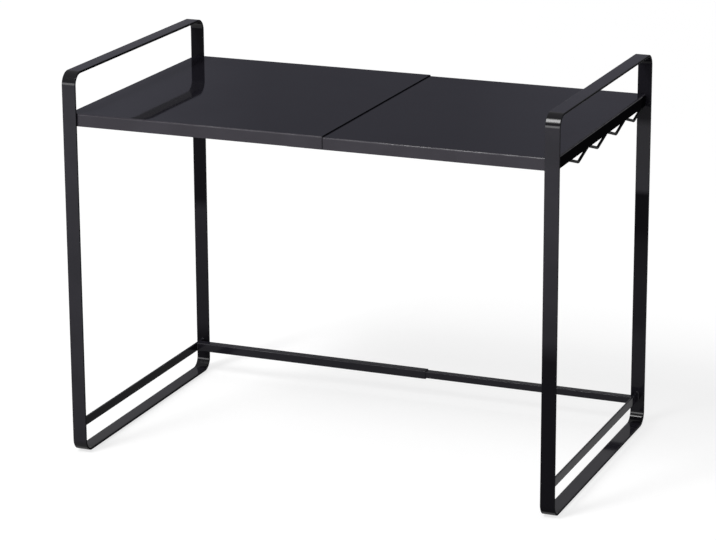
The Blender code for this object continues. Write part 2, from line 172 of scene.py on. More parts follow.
class Tree:
    """Builds the node tree of one material, or of the room."""

    def __init__(
        self,
        holder: bpy.types.Material | bpy.types.World,
        shader: str = "Principled BSDF",
        space: str = "Object",
    ) -> None:
        """Start from the tree's own shader.

        Args:
            holder: The material or the world to build.
            shader: The name of its shader node.
            space: The coordinates that its patterns read.
        """
        holder.use_nodes = True
        self.tree = holder.node_tree
        self.shader = self.tree.nodes[shader]
        self.coordinates = self.out(self.node("ShaderNodeTexCoord"), space)

    def node(
        self,
        kind: str,
        settings: dict[str, object] | None = None,
        values: dict[str | int, object] | None = None,
    ) -> bpy.types.Node:
        """Add any node.

        Args:
            kind: The node's type.
            settings: Attributes that are set first, such as a Math node's operation or a
                ramp's stops.
            values: Numbers, colours or sockets for its inputs, by name or index.

        Returns:
            The node.
        """
        node = self.tree.nodes.new(kind)
        for name, value in (settings or {}).items():
            if name == "stops":
                elements = node.color_ramp.elements
                while len(elements) < len(value):
                    elements.new(1.0)
                for element, (place, level, blue) in zip(elements, value):
                    element.position = place
                    element.color = (level, level, level * blue, 1.0)
            else:
                setattr(node, name, value)
        for name, value in (values or {}).items():
            if isinstance(value, Sock):
                self.tree.links.new(value.socket, node.inputs[name])
            else:
                node.inputs[name].default_value = value
        return node

    def out(self, node: bpy.types.Node, name: str | int = 0) -> Sock:
        """Wrap an output of a node."""
        return Sock(self, node.outputs[name])

    def math(self, operation: str, first: Term, second: Term) -> Sock:
        """Add a Math node that works on two values."""
        settings = {"operation": operation}
        return self.out(self.node("ShaderNodeMath", settings, {0: first, 1: second}))

    def mix(self, share: Term, first: Colour | Sock, second: Colour | Sock) -> Sock:
        """Mix two colours.

        Args:
            share: How much of the second colour shows.
            first: The first colour.
            second: The second colour.

        Returns:
            The mixed colour.
        """
        pair = [c if isinstance(c, Sock) else (*c, 1.0) for c in (first, second)]
        values = {"Factor": share, 6: pair[0], 7: pair[1]}
        return self.out(self.node("ShaderNodeMix", {"data_type": "RGBA"}, values), 2)

    def noise(self, size: float, detail: float = 2.0, roughness: float = 0.5) -> Sock:
        """Add soft noise.

        Args:
            size: The width of its patches in metres.
            detail: How many finer octaves it has.
            roughness: How strong these are.

        Returns:
            A value around 0.5.
        """
        values = {
            "Vector": self.coordinates,
            "Scale": 1 / size,
            "Detail": detail,
            "Roughness": roughness,
        }
        return self.out(self.node("ShaderNodeTexNoise", {"noise_dimensions": "3D"}, values))

    def patches(self, patches: Patches) -> Sock:
        """Add soft-edged patches, 1 inside them and 0 between them."""
        cloud = self.noise(patches.size, patches.detail, patches.roughness)
        return self.ramp(cloud, patches.low, patches.high)

    def specks(self, spacing: float, radius: float, share: float, core: float = 0.6) -> Sock:
        """Add sparse round specks.

        Args:
            spacing: The width of a cell that may hold a speck, in metres.
            radius: The speck's radius in metres.
            share: The share of the cells that hold one.
            core: The share of its radius up to which a speck is full.

        Returns:
            1 inside a speck and 0 elsewhere.
        """
        values = {"Vector": self.coordinates, "Scale": 1 / spacing}
        cells = self.node("ShaderNodeTexVoronoi", {"feature": "F1"}, values)
        near = self.ramp(self.out(cells, "Distance"), radius / spacing, core * radius / spacing)
        split = self.node("ShaderNodeSeparateColor", None, {0: self.out(cells, "Color")})
        chosen = self.math("LESS_THAN", self.out(split, 0), share)
        return near * chosen

    def ramp(self, value: Sock, low: float, high: float) -> Sock:
        """Turn the stretch from low to high smoothly into 0 to 1.

        Args:
            value: The value to read.
            low: Where the result is 0.
            high: Where it is 1.

        Returns:
            The result.
        """
        settings = {"interpolation_type": "SMOOTHSTEP"}
        values = {"Value": value, "From Min": low, "From Max": high}
        return self.out(self.node("ShaderNodeMapRange", settings, values))

    def attribute(self, name: str) -> Sock:
        """Read a number that the mesh carries at its points."""
        return self.out(self.node("ShaderNodeAttribute", {"attribute_name": name}), "Fac")

    def bump(self, height: Sock, depth: float, under: Sock | None = None) -> Sock:
        """Turn a height into a normal.

        Args:
            height: The height, from 0 to 1.
            depth: The depth of the relief in metres.
            under: A normal that this relief lies on.

        Returns:
            The normal.
        """
        values = {"Strength": 1.0, "Distance": depth, "Height": height}
        if under:
            values["Normal"] = under
        return self.out(self.node("ShaderNodeBump", None, values), "Normal")

    def feed(self, **inputs: object) -> None:
        """Feed the shader.

        Args:
            inputs: Numbers, colours or sockets, by socket name with spaces as underscores.
        """
        for name, value in inputs.items():
            socket = self.shader.inputs[name.replace("_", " ")]
            if isinstance(value, Sock):
                self.tree.links.new(value.socket, socket)
            else:
                socket.default_value = value


# Finishes


@dataclass(frozen=True)
class BakedPaint:
    """Black baked paint on steel: orange peel, a coat thin in places, and painted shade."""

    name: str
    black: Colour = (0.0305, 0.0282, 0.0352)
    deep_black: Colour = (0.0265, 0.0243, 0.0305)
    thin_black: Colour = (0.038, 0.036, 0.043)
    # The next two colours are painted shade: near black on shaded faces, dark on tops and bends
    dull_black: Colour = (0.0050, 0.0047, 0.0060)
    thick_black: Colour = (0.0085, 0.0080, 0.0112)
    dust: Colour = (0.12, 0.115, 0.11)
    pools: Patches = Patches(0.045, 0.35, 0.68)
    wear: Patches = Patches(0.018, 0.34, 0.66)
    smears: Patches = Patches(0.11, 0.45, 0.75, detail=4.0, roughness=0.6)
    # How far the painted darkening on tops and bends goes
    painted_darkening_cover: float = 0.94
    thin_cover: float = 0.22
    dust_cover: float = 0.8
    satin: float = 0.34
    smear_haze: float = 0.16
    wear_haze: float = 0.09
    dust_haze: float = 0.35
    gloss_weight: float = 0.38
    gloss_roughness: float = 0.045
    smear_loss: float = 0.06
    wear_loss: float = 0.45
    # Gloss that is left under painted shade
    dull_gloss: float = 0.08
    peel_size: float = 0.0026
    peel_depth: float = 0.000006
    dust_spacing: float = 0.0075
    dust_radius: float = 0.00034
    dust_share: float = 0.05
    dust_height: float = 0.00003

    def material(self) -> bpy.types.Material:
        """Make the paint, which reads the meshes' edge mark and their two painted shade marks.

        Returns:
            The material.
        """
        material = bpy.data.materials.new(self.name)
        tree = Tree(material)
        pools = tree.patches(self.pools)
        edge = tree.attribute("edge") * tree.patches(self.wear)
        dust = tree.specks(self.dust_spacing, self.dust_radius, self.dust_share)
        smear = tree.patches(self.smears)
        # Painted shade: this mark darkens the paint on shaded faces and takes their gloss away
        dull = tree.attribute("dull")
        # The thick mark is painted darkening on the sheet's tops and the bars' bends
        thick = tree.attribute("thick")
        colour = tree.mix(pools, self.deep_black, self.black)
        colour = tree.mix(thick * self.painted_darkening_cover, colour, self.thick_black)
        colour = tree.mix(dull, colour, self.dull_black)
        colour = tree.mix(edge * self.thin_cover, colour, self.thin_black)
        colour = tree.mix(dust * self.dust_cover, colour, self.dust)
        rough = self.satin + smear * self.smear_haze + edge * self.wear_haze
        gloss = self.gloss_weight * (1 - smear * self.smear_loss) * (1 - edge * self.wear_loss)
        # Painted shade takes the gloss away as well
        gloss = gloss * (1 - dull * (1 - self.dull_gloss)) * (1 - dust * self.dust_cover)
        peel = tree.bump(tree.noise(self.peel_size, detail=1.0), self.peel_depth)
        tree.feed(
            Base_Color=colour,
            Roughness=rough + dust * self.dust_haze,
            Metallic=0.0,
            Specular_IOR_Level=0.0,
            Coat_Weight=gloss,
            Coat_IOR=1.5,
            Coat_Roughness=self.gloss_roughness,
            Normal=tree.bump(dust, self.dust_height, peel),
        )
        return material


@dataclass(frozen=True)
class BlackenedSteel:
    """Blackened steel of a screw, rubbed bright on its edges."""

    name: str
    black: Colour = (0.035, 0.034, 0.036)
    rubbed: Colour = (0.22, 0.21, 0.20)
    rubbing: Patches = Patches(0.0016, 0.55, 0.75)
    rubbed_cover: float = 0.5
    satin: float = 0.34
    grain_size: float = 0.00035
    grain_satin: float = 0.14
    grain_depth: float = 0.000006

    def material(self) -> bpy.types.Material:
        """Make the steel.

        Returns:
            The material.
        """
        material = bpy.data.materials.new(self.name)
        tree = Tree(material)
        rubbed = tree.patches(self.rubbing) * self.rubbed_cover
        grain = tree.noise(self.grain_size)
        tree.feed(
            Base_Color=tree.mix(rubbed, self.black, self.rubbed),
            Roughness=self.satin + grain * self.grain_satin,
            Metallic=1.0,
            Normal=tree.bump(grain, self.grain_depth),
        )
        return material


@dataclass(frozen=True)
class MouldedNylon:
    """Moulded black nylon with a fine spark-eroded grain."""

    name: str
    pale: Colour = (0.020, 0.020, 0.021)
    dark: Colour = (0.012, 0.012, 0.013)
    cloud_size: float = 0.006
    grain_size: float = 0.0004
    satin: float = 0.44
    grain_satin: float = 0.16
    grain_depth: float = 0.00002

    def material(self) -> bpy.types.Material:
        """Make the nylon.

        Returns:
            The material.
        """
        material = bpy.data.materials.new(self.name)
        tree = Tree(material)
        grain = tree.noise(self.grain_size, detail=3.0, roughness=0.6)
        tree.feed(
            Base_Color=tree.mix(tree.noise(self.cloud_size), self.dark, self.pale),
            Roughness=self.satin + grain * self.grain_satin,
            Metallic=0.0,
            Normal=tree.bump(grain, self.grain_depth),
        )
        return material


@dataclass(frozen=True)
class PadRubber:
    """Matt black rubber with dust in its pores."""

    name: str
    rubber: Colour = (0.016, 0.016, 0.016)
    dusty: Colour = (0.055, 0.053, 0.050)
    dust: Patches = Patches(0.004, 0.5, 0.8)
    dust_cover: float = 0.6
    matt: float = 0.78
    pore_size: float = 0.0007
    pore_matt: float = 0.16
    pore_depth: float = 0.00004

    def material(self) -> bpy.types.Material:
        """Make the rubber.

        Returns:
            The material.
        """
        material = bpy.data.materials.new(self.name)
        tree = Tree(material)
        pores = tree.noise(self.pore_size, detail=4.0, roughness=0.65)
        dust = tree.patches(self.dust) * self.dust_cover
        tree.feed(
            Base_Color=tree.mix(dust, self.rubber, self.dusty),
            Roughness=self.matt + pores * self.pore_matt,
            Metallic=0.0,
            Normal=tree.bump(pores, self.pore_depth),
        )
        return material


@dataclass(frozen=True)
class Finishes:
    """The rack's materials, made once and shared by its pieces."""

    sheet: bpy.types.Material
    bar: bpy.types.Material
    wire: bpy.types.Material
    screw: bpy.types.Material
    nylon: bpy.types.Material
    rubber: bpy.types.Material

    @classmethod
    def make(cls) -> "Finishes":
        """Make every material of the rack.

        Returns:
            The finishes.
        """
        return cls(
            # The sheet's painted shade is near black and keeps almost no gloss
            sheet=BakedPaint(
                "sheet_paint", dull_black=(0.0022, 0.0020, 0.0026), dull_gloss=0.01
            ).material(),
            bar=BakedPaint(
                "bar_paint",
                black=(0.0165, 0.0155, 0.0205),
                deep_black=(0.0135, 0.0128, 0.0170),
                # Painted darkening on the hoops' bends, between their highlights
                thick_black=(0.0040, 0.0038, 0.0048),
                gloss_weight=0.41,
                gloss_roughness=0.085,
            ).material(),
            wire=BakedPaint(
                "wire_paint",
                black=(0.006, 0.006, 0.007),
                deep_black=(0.004, 0.004, 0.005),
                gloss_weight=0.12,
                gloss_roughness=0.10,
            ).material(),
            screw=BlackenedSteel("screw_steel").material(),
            nylon=MouldedNylon("moulded_nylon").material(),
            rubber=PadRubber("pad_rubber").material(),
        )


# Mesh helpers


def circle(sides: int) -> list[tuple[float, float]]:
    """List the directions to the corners of a round with so many sides.

    Args:
        sides: How many sides it has.

    Returns:
        Each corner's share across and up.
    """
    turns = [math.tau * side / sides for side in range(sides)]
    return [(math.cos(turn), math.sin(turn)) for turn in turns]


def corner_turns(steps: int) -> Iterable[tuple[int, int, float, float]]:
    """Yield the signs and unit directions of a rounded rectangle, corner by corner.

    Args:
        steps: How many steps each corner's arc has.

    Yields:
        The corner's sign across and up, and the direction's share across and up.
    """
    for corner, (side, rise) in enumerate(((1, 1), (-1, 1), (-1, -1), (1, -1))):
        for step in range(steps + 1):
            angle = math.radians(90) * (corner + step / steps)
            yield side, rise, math.cos(angle), math.sin(angle)


def rounded_outline(width: float, height: float, radius: float, steps: int) -> list[Vector]:
    """Make the outline of a rounded rectangle.

    Args:
        width: Its width.
        height: Its height.
        radius: Its corner radius.
        steps: The steps of each corner.

    Returns:
        Its points, anticlockwise from the right side.
    """
    return [
        Vector((
            side * (width / 2 - radius) + radius * across,
            rise * (height / 2 - radius) + radius * up,
        ))
        for side, rise, across, up in corner_turns(steps)
    ]


def join_rings(shape: bmesh.types.BMesh, rings: Sequence[list[bmesh.types.BMVert]]) -> None:
    """Add the faces between rings of points, each to the next.

    Args:
        shape: The bmesh that holds the points.
        rings: The rings, all of one length.
    """
    count = len(rings[0])
    for first, second in zip(rings, rings[1:]):
        for index in range(count):
            following = (index + 1) % count
            shape.faces.new((first[index], first[following], second[following], second[index]))


def skin(
    name: str, rings: Sequence[Ring], closed: bool, marks: dict[str, list[float]] | None = None
) -> bpy.types.Mesh:
    """Skin rings of points, joined end to end or capped.

    Args:
        name: The mesh's name.
        rings: The rings, all of one length.
        closed: Whether the last ring joins the first.
        marks: By name, a number for each point of a ring, for the finish to read.

    Returns:
        The mesh.
    """
    shape = bmesh.new()
    layers = {mark: shape.verts.layers.float.new(mark) for mark in marks or {}}
    made = []
    for ring in rings:
        verts = [shape.verts.new(point) for point in ring]
        for mark, layer in layers.items():
            for vert, share in zip(verts, marks[mark]):
                vert[layer] = share
        made.append(verts)
    join_rings(shape, made + made[:1] if closed else made)
    if not closed:
        shape.faces.new(made[0])
        shape.faces.new(made[-1])
    bmesh.ops.recalc_face_normals(shape, faces=shape.faces)
    return to_mesh(name, shape)


def to_mesh(name: str, shape: bmesh.types.BMesh) -> bpy.types.Mesh:
    """Turn a bmesh into a smooth mesh with sharp creases.

    Args:
        name: The mesh's name.
        shape: The bmesh, which is freed.

    Returns:
        The mesh.
    """
    mesh = bpy.data.meshes.new(name)
    shape.to_mesh(mesh)
    shape.free()
    mesh.shade_smooth()
    mesh.set_sharp_from_angle(angle=SMOOTH_ANGLE)
    return mesh


def edge_marks(steps: int, dull: float) -> dict[str, list[float]]:
    """Mark a bar's rounded edges, and the painted shade on the two sides across its section.

    Args:
        steps: The steps of each corner of the bar's section.
        dull: How much painted shade the two sides carry.

    Returns:
        By mark, a share for each point of the section. The thick mark, painted darkening, starts at
        0.
    """
    side_step = (0, steps, 0, steps)
    turns = [(corner, step) for corner in range(4) for step in range(steps + 1)]
    return {
        "edge": [0.0 if step in (0, steps) else 1.0 for _, step in turns],
        "dull": [dull if step == side_step[corner] else 0.0 for corner, step in turns],
        "thick": [0.0] * len(turns),
    }


def share_at(shares: Shares, height: float) -> float:
    """Read a share between the heights at which it is given.

    Args:
        shares: Heights from low to high, each with its share.
        height: The height to read at.

    Returns:
        The share there, which stays the same beyond the ends.
    """
    for (low, first), (high, second) in zip(shares, shares[1:]):
        if height < high:
            return first + (second - first) * max(0.0, (height - low) / (high - low))
    return shares[-1][1]


def mark_sheet(mesh: bpy.types.Mesh) -> None:
    """Mark a folded sheet's bends and edges, and the painted shade on its side aprons and its top.

    Args:
        mesh: The sheet, whose flats lie along the axes.
    """
    shape = bmesh.new()
    shape.from_mesh(mesh)
    edge, dull, thick = (shape.verts.layers.float.new(mark) for mark in ("edge", "dull", "thick"))
    for vert in shape.verts:
        flats = [
            face.normal for face in vert.link_faces
            if max(abs(share) for share in face.normal) > ALONG_AXIS
        ]
        vert[edge] = float(not flats)
        # Painted shade: near black on the side aprons, darker on the top
        vert[dull] = float(any(abs(normal.x) > ALONG_AXIS for normal in flats))
        vert[thick] = float(any(normal.z > ALONG_AXIS for normal in flats))
    shape.to_mesh(mesh)
    shape.free()


def add_piece(
    name: str,
    mesh: bpy.types.Mesh,
    material: bpy.types.Material,
    body: Body,
    nodes: Sequence[str] = (),
) -> bpy.types.Object:
    """Add a piece that rides on a body.

    Args:
        name: The piece's name.
        mesh: Its mesh, in world coordinates.
        material: Its finish.
        body: The body that carries it.
        nodes: The CAD nodes that it stands for.

    Returns:
        The piece.
    """
    piece = bpy.data.objects.new(name, mesh)
    bpy.context.scene.collection.objects.link(piece)
    mesh.materials.append(material)
    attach(piece, body.value)
    if nodes:
        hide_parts(*nodes)
    LOG.info("%s rides on %s", name, body.value)
    return piece


def even_normals(piece: bpy.types.Object) -> None:
    """Keep a piece's large flat faces flat next to its rounded edges.

    Args:
        piece: The piece.
    """
    modifier = piece.modifiers.new("even_normals", 'WEIGHTED_NORMAL')
    modifier.keep_sharp = True
    modifier.weight = NORMAL_WEIGHT


@dataclass(frozen=True)
class WeldBead:
    """A round weld bead with ripples, a little uneven, and tapered where it ends.

    Attributes:
        radius: The bead's radius in metres.
        sides: How many sides its section has.
        steep: The path's rise from which its section is turned by Y instead of Z.
        ripple: How much a ripple swells the bead.
        ripple_rate: How far the ripples' wave turns over one radius of the path.
        uneven: The largest random swelling.
        tip: The share of the radius at an end.
        tip_growth: How much that share grows from each point to the next.
    """

    radius: float
    sides: int = 10
    steep: float = 0.8
    ripple: float = 0.10
    ripple_rate: float = 4.2
    uneven: float = 0.05
    tip: float = 0.45
    tip_growth: float = 0.25

    def mesh(self, name: str, path: Sequence[Vector], closed: bool, seed: int) -> bpy.types.Mesh:
        """Lay the bead along a path.

        Args:
            name: The mesh's name.
            path: Points along the bead, closely spaced.
            closed: Whether the bead ends where it starts.
            seed: Seeds the bead's small unevenness.

        Returns:
            The mesh.
        """
        chance = random.Random(seed)
        rings = []
        count = len(path)
        travelled = 0.0
        for index, point in enumerate(path):
            before = path[index - 1] if index or closed else point
            after = path[(index + 1) % count] if index < count - 1 or closed else point
            along = (after - before).normalized()
            guide = Vector((0, 0, 1)) if abs(along.z) < self.steep else Vector((0, 1, 0))
            across = along.cross(guide).normalized()
            up = across.cross(along).normalized()
            travelled += (point - path[index - 1]).length if index else 0.0
            wave = self.ripple * math.sin(travelled / self.radius * self.ripple_rate)
            ripple = 1.0 + wave + chance.uniform(-self.uneven, self.uneven)
            from_end = min(index, count - 1 - index)
            taper = 1.0 if closed else min(1.0, self.tip + self.tip_growth * from_end)
            reach = self.radius * ripple * taper
            rings.append([
                point + (across * right + up * rise) * reach for right, rise in circle(self.sides)
            ])
        return skin(name, rings, closed)


# Sub-assemblies


@dataclass
class SideHoop:
    """One side hoop of bent flat bar, with its lower rail and the welds that hold it."""

    side: Side
    finishes: Finishes
    # Painted shade on the rail's sides and on the legs, by height
    rail_dull: float
    front_dull: Shares
    rear_dull: Shares
    thickness: float = 0.003
    bend_radius: float = 0.016
    bend_steps: int = 22
    # How fast the painted darkening grows into each bend
    bend_darkening: float = 1.6
    bar_edge: float = 0.0005
    # Painted shade on the bar's two narrow sides
    bar_side_shade: float = 1.0
    rail_edge: float = 0.0004
    edge_steps: int = 4
    weld: WeldBead = WeldBead(0.0009)
    weld_corner: float = 0.0007
    weld_corner_steps: int = 3
    weld_pitch: float = 0.0005
    weld_sink: float = 0.0001

    def shade(self, mesh: bpy.types.Mesh) -> None:
        """Paint shade by height on the front leg and the rear leg's inner face, and in the bends.

        Args:
            mesh: The hoop, with its marks.
        """
        low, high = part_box(f"{self.side.word}_hoop")
        centre, half = (low + high) / 2, (high - low) / 2
        inner_face = high.y - self.thickness
        marks = zip(mesh.vertices, mesh.attributes["dull"].data, mesh.attributes["thick"].data)
        for vert, dull, thick in marks:
            away = vert.co - centre
            across = abs(away.y) - half.y + self.bend_radius
            up = abs(away.z) - half.z + self.bend_radius
            # Painted darkening in the bends, between their highlights
            if across > 0 and up > 0:
                thick.value = min(1.0, self.bend_darkening * math.sin(2 * math.atan2(up, across)))
            # Painted shade by height on the rear leg's inner face and on the front leg
            share = 0.0
            if abs(vert.co.y - inner_face) < self.bar_edge / 2:
                share = share_at(self.rear_dull, vert.co.z)
            elif vert.co.y < low.y + self.thickness:
                share = share_at(self.front_dull, vert.co.z)
            dull.value = max(dull.value, share)

    def leg_rings(
        self, shares: Shares, corner: Vector, outward: Vector, section: list[Vector]
    ) -> list[Ring]:
        """Make a leg's rings at the heights between which its painted shade changes.

        Args:
            shares: The heights, with how much painted shade the leg has there.
            corner: The centre of the bend above the leg.
            outward: The direction out of the hoop.
            section: The bar's section.

        Returns:
            The rings, from the foot up.
        """
        middle = self.bend_radius - self.thickness / 2
        return [
            [
                Vector((corner.x + point.x, corner.y, height)) + outward * (middle + point.y)
                for point in section
            ]
            for height, _ in shares
            if 2 * self.bend_radius < height < corner.z - self.bend_radius / 2
        ]

    def hoop(self) -> None:
        """Sweep the bar's section round the hoop."""
        node = f"{self.side.word}_hoop"
        low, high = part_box(node)
        centre = (low + high) / 2
        section = rounded_outline(high.x - low.x, self.thickness, self.bar_edge, self.edge_steps)
        straight_depth = (high.y - low.y) / 2 - self.bend_radius
        straight_height = (high.z - low.z) / 2 - self.bend_radius
        middle = self.bend_radius - self.thickness / 2
        rings = []
        for side, rise, across, up in corner_turns(self.bend_steps):
            corner = centre + Vector((0, side * straight_depth, rise * straight_height))
            outward = Vector((0, across, up))
            if not rings:
                rings += self.leg_rings(self.rear_dull, corner, outward, section)
            rings.append([
                corner + Vector((point.x, 0, 0)) + outward * (middle + point.y) for point in section
            ])
            if side < 0 < rise and up < TINY:
                rings += reversed(self.leg_rings(self.front_dull, corner, outward, section))
        mesh = skin(f"{node}_bar", rings, True, edge_marks(self.edge_steps, self.bar_side_shade))
        self.shade(mesh)
        piece = add_piece(
            f"{node}_bar", mesh, self.finishes.bar, self.side.body, (node,)
        )
        even_normals(piece)

    def rail(self) -> None:
        """Make the flat bar on edge between the legs."""
        node = f"{self.side.word}_rail"
        low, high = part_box(node)
        centre = (low + high) / 2
        section = rounded_outline(high.x - low.x, high.z - low.z, self.rail_edge, self.edge_steps)
        rings = [
            [Vector((centre.x + point.x, depth, centre.z + point.y)) for point in section]
            for depth in (low.y, high.y)
        ]
        mesh = skin(f"{node}_bar", rings, False, edge_marks(self.edge_steps, self.rail_dull))
        piece = add_piece(
            f"{node}_bar", mesh, self.finishes.bar, self.side.body, (node,)
        )
        even_normals(piece)

    def rail_welds(self) -> None:
        """Lay a bead round each end of the rail, against the leg."""
        low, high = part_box(f"{self.side.word}_rail")
        centre = (low + high) / 2
        outline = rounded_outline(
            high.x - low.x, high.z - low.z, self.weld_corner, self.weld_corner_steps
        )
        path = []
        for start, stop in zip(outline, outline[1:] + outline[:1]):
            steps = max(1, round((stop - start).length / self.weld_pitch))
            path += [start.lerp(stop, step / steps) for step in range(steps)]
        for word, end, depth in (("front", -1, low.y), ("rear", 1, high.y)):
            sunk = depth - end * self.weld_sink
            points = [Vector((centre.x + point.x, sunk, centre.z + point.y)) for point in path]
            name = f"{self.side.word}_rail_{word}_weld"
            mesh = self.weld.mesh(name, points, True, RAIL_WELD_SEED + 2 * self.side.value + end)
            add_piece(name, mesh, self.finishes.bar, self.side.body)

    def build(self) -> None:
        """Build and dress the hoop, its rail and their welds."""
        self.hoop()
        self.rail()
        self.rail_welds()


@dataclass
class SheetTray:
    """One tray of the shelf, folded from sheet, with open or folded ends."""

    node: str
    body: Body
    finishes: Finishes
    open_right: bool
    lipped: bool
    sheet: float = 0.001
    fold_radius: float = 0.0018
    fold_steps: int = 6
    lip_width: float = 0.009
    lip_setback: float = 0.014
    burr: float = 0.00018
    burr_steps: int = 2
    burr_angle: float = math.radians(60)
    crease_angle: float = math.radians(50)
    hole_radius: float = 0.0023
    hole_sides: int = 32
    hole_overshoot: float = 0.002
    wave_length: float = 0.11
    wave_height: float = 0.00006
    wave_ease: float = 0.03
    grid_cell: float = 0.012

    def fold_lips(self, shape: bmesh.types.BMesh, low: Vector, high: Vector) -> None:
        """Fold a lip inwards along the front and rear aprons' lower edges.

        Args:
            shape: The tray's outer skin.
            low: The tray's lowest corner.
            high: Its highest corner.
        """
        for face_y, inward in ((low.y, 1), (high.y, -1)):
            rows = [
                edge for edge in shape.edges
                if edge.is_boundary
                and all(abs(v.co.y - face_y) < TINY and v.co.z < low.z + TINY for v in edge.verts)
            ]
            edge = max(rows, key=lambda item: item.calc_length())
            start, end = sorted(edge.verts, key=lambda vert: vert.co.x)
            for place in (low.x + self.lip_setback, high.x - self.lip_setback):
                share = (place - start.co.x) / (end.co.x - start.co.x)
                edge, start = bmesh.utils.edge_split(edge, start, share)
            middle = next(
                link for link in start.link_edges if end not in link.verts and link.is_boundary
            )
            grown = bmesh.ops.extrude_edge_only(shape, edges=[middle])["geom"]
            verts = [item for item in grown if isinstance(item, bmesh.types.BMVert)]
            bmesh.ops.translate(shape, verts=verts, vec=(0, inward * self.lip_width, 0))

    def skin_mesh(self) -> bpy.types.Mesh:
        """Fold the outer skin of the sheet.

        Returns:
            The skin, without thickness.
        """
        low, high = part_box(self.node)
        shape = bmesh.new()
        bmesh.ops.create_cube(shape, size=1)
        bmesh.ops.scale(shape, vec=high - low, verts=shape.verts)
        bmesh.ops.translate(shape, vec=(high + low) / 2, verts=shape.verts)
        away = [
            face for face in shape.faces
            if face.normal.z < -ALONG_AXIS or (self.open_right and face.normal.x > ALONG_AXIS)
        ]
        bmesh.ops.delete(shape, geom=away, context='FACES')
        folds = [edge for edge in shape.edges if not edge.is_boundary]
        bmesh.ops.bevel(
            shape, geom=folds, offset=self.fold_radius, offset_type='OFFSET',
            segments=self.fold_steps, profile=0.5, affect='EDGES',
        )
        if self.lipped:
            self.fold_lips(shape, low, high)
        return to_mesh(f"{self.node}_sheet", shape)

    def hole_cutter(self, side: Side) -> bpy.types.Object:
        """Make the rod that cuts the two screw holes next to one hoop.

        Args:
            side: The side whose hoop the tray is screwed to.

        Returns:
            The cutter.
        """
        low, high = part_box(f"{side.word}_front_screw")
        centre = (low + high) / 2
        front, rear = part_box(self.node)
        spokes = [
            Vector((across, 0, up)) * self.hole_radius for across, up in circle(self.hole_sides)
        ]
        rings = [
            [Vector((centre.x, depth, centre.z)) + spoke for spoke in spokes]
            for depth in (front.y - self.hole_overshoot, rear.y + self.hole_overshoot)
        ]
        cutter = bpy.data.objects.new(f"{self.node}_holes", skin("holes", rings, False))
        bpy.context.scene.collection.objects.link(cutter)
        return cutter

    def wave(self, mesh: bpy.types.Mesh) -> None:
        """Give the flat of the tray the faint waves of real sheet.

        Args:
            mesh: The finished tray.
        """
        low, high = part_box(self.node)
        shape = bmesh.new()
        shape.from_mesh(mesh)
        margin = self.fold_radius + self.burr
        for axis, normal in enumerate(((1, 0, 0), (0, 1, 0))):
            count = int((high[axis] - low[axis] - 2 * margin) / self.grid_cell)
            for index in range(1, count):
                place = Vector((0, 0, 0))
                place[axis] = low[axis] + margin + index * self.grid_cell
                bmesh.ops.bisect_plane(
                    shape, geom=shape.verts[:] + shape.edges[:] + shape.faces[:],
                    plane_co=place, plane_no=normal,
                )
        for vert in shape.verts:
            inset = min(
                vert.co.x - low.x, high.x - vert.co.x, vert.co.y - low.y, high.y - vert.co.y
            ) - margin
            if inset > 0 and vert.co.z > high.z - 2 * self.sheet:
                ease = min(1.0, inset / self.wave_ease)
                swell = noise.noise(vert.co / self.wave_length)
                vert.co.z += swell * ease * self.wave_height
        shape.to_mesh(mesh)
        shape.free()

    def sheet_mesh(self) -> bpy.types.Mesh:
        """Give the skin its thickness, its screw holes and its broken edges.

        Returns:
            The folded sheet.
        """
        source = bpy.data.objects.new("skin", self.skin_mesh())
        bpy.context.scene.collection.objects.link(source)
        thick = source.modifiers.new("sheet", 'SOLIDIFY')
        thick.thickness = self.sheet
        thick.offset = -1
        thick.use_even_offset = True
        cutter = self.hole_cutter(Side[self.body.name])
        cut = source.modifiers.new("holes", 'BOOLEAN')
        cut.object = cutter
        cut.solver = 'EXACT'
        broken = source.modifiers.new("broken_edges", 'BEVEL')
        broken.width = self.burr
        broken.segments = self.burr_steps
        broken.limit_method = 'ANGLE'
        broken.angle_limit = self.burr_angle
        graph = bpy.context.evaluated_depsgraph_get()
        mesh = bpy.data.meshes.new_from_object(source.evaluated_get(graph))
        mesh.name = f"{self.node}_sheet"
        bpy.data.objects.remove(source)
        bpy.data.objects.remove(cutter)
        return mesh

    def build(self) -> None:
        """Build and dress the tray."""
        mesh = self.sheet_mesh()
        self.wave(mesh)
        mark_sheet(mesh)
        mesh.materials.clear()
        mesh.set_sharp_from_angle(angle=self.crease_angle)
        piece = add_piece(
            f"{self.node}_sheet", mesh, self.finishes.sheet, self.body, (self.node,)
        )
        even_normals(piece)


